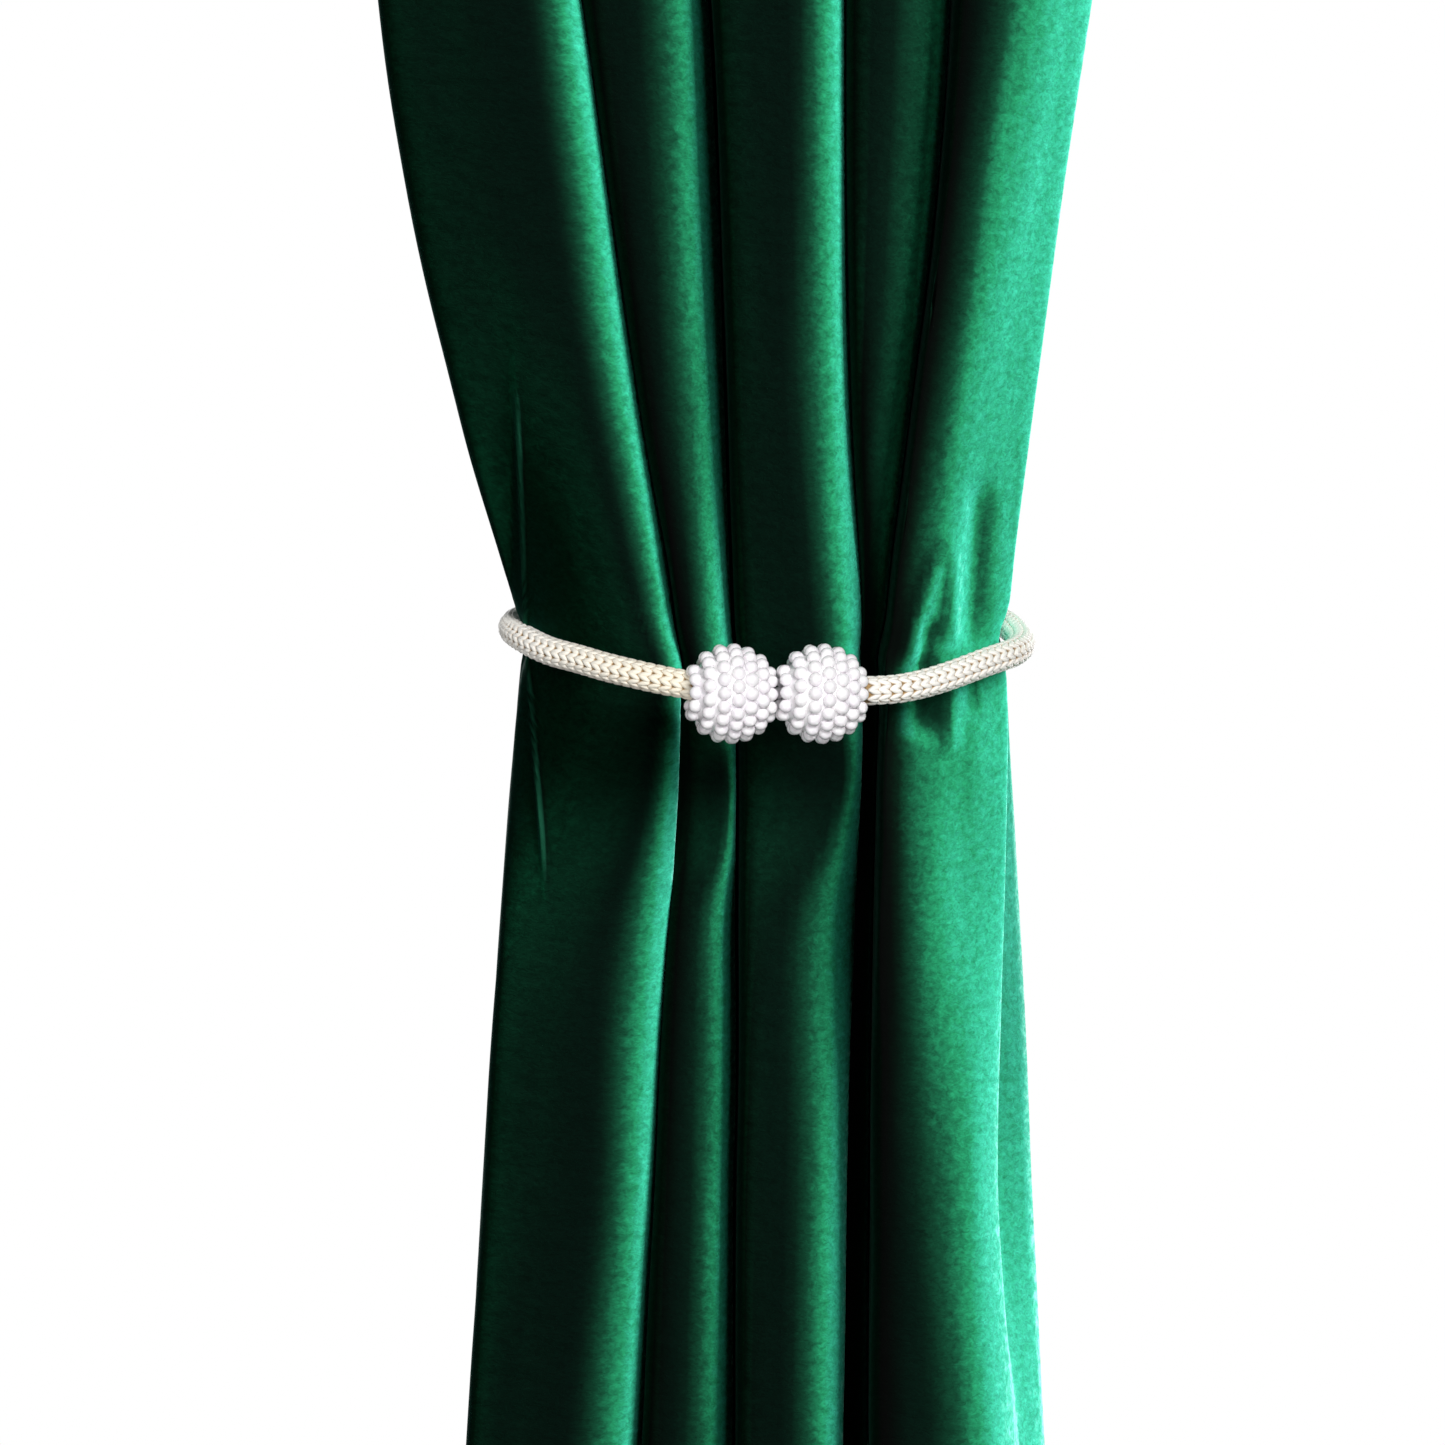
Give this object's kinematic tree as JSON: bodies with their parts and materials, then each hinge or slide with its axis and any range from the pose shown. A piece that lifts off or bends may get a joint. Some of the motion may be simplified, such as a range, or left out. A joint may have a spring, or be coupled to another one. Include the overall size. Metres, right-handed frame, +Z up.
{
  "type": "velvet eyelet curtain with a magnetic ball tieback",
  "caption": "Drop curtain of pleated velvet on a row of eyelets, gathered at the middle by a round cord tieback with magnetic pearl-covered balls.",
  "frame": {"origin": "middle of the heading's top edge, over the line of the rod", "axes": "+Z up, the cloth hangs along -Z, +X to the right seen from the room, the room side faces -Y"},
  "size_m": [0.3958, 0.1501, 2.45],
  "materials": {
    "velvet": "emerald cut-pile velvet, deep and near black in the folds, bright on the turned edges",
    "eyelet_metal": "pressed metal ring in satin nickel plate",
    "cord_cotton": "ivory round knitted cord with ribs of small stitches",
    "pearl": "glossy white imitation pearl beads with a soft lilac-grey shade"
  },
  "bodies": {
    "root": {"velvet_panel": "velvet", "heading_band": "velvet", "eyelet_01": "eyelet_metal", "eyelet_02": "eyelet_metal", "eyelet_03": "eyelet_metal", "eyelet_04": "eyelet_metal", "eyelet_05": "eyelet_metal", "eyelet_06": "eyelet_metal", "eyelet_07": "eyelet_metal", "eyelet_08": "eyelet_metal", "eyelet_09": "eyelet_metal", "eyelet_10": "eyelet_metal", "tie_cord": "cord_cotton", "ball_left": "pearl", "ball_right": "pearl"}
  },
  "joints": []
}
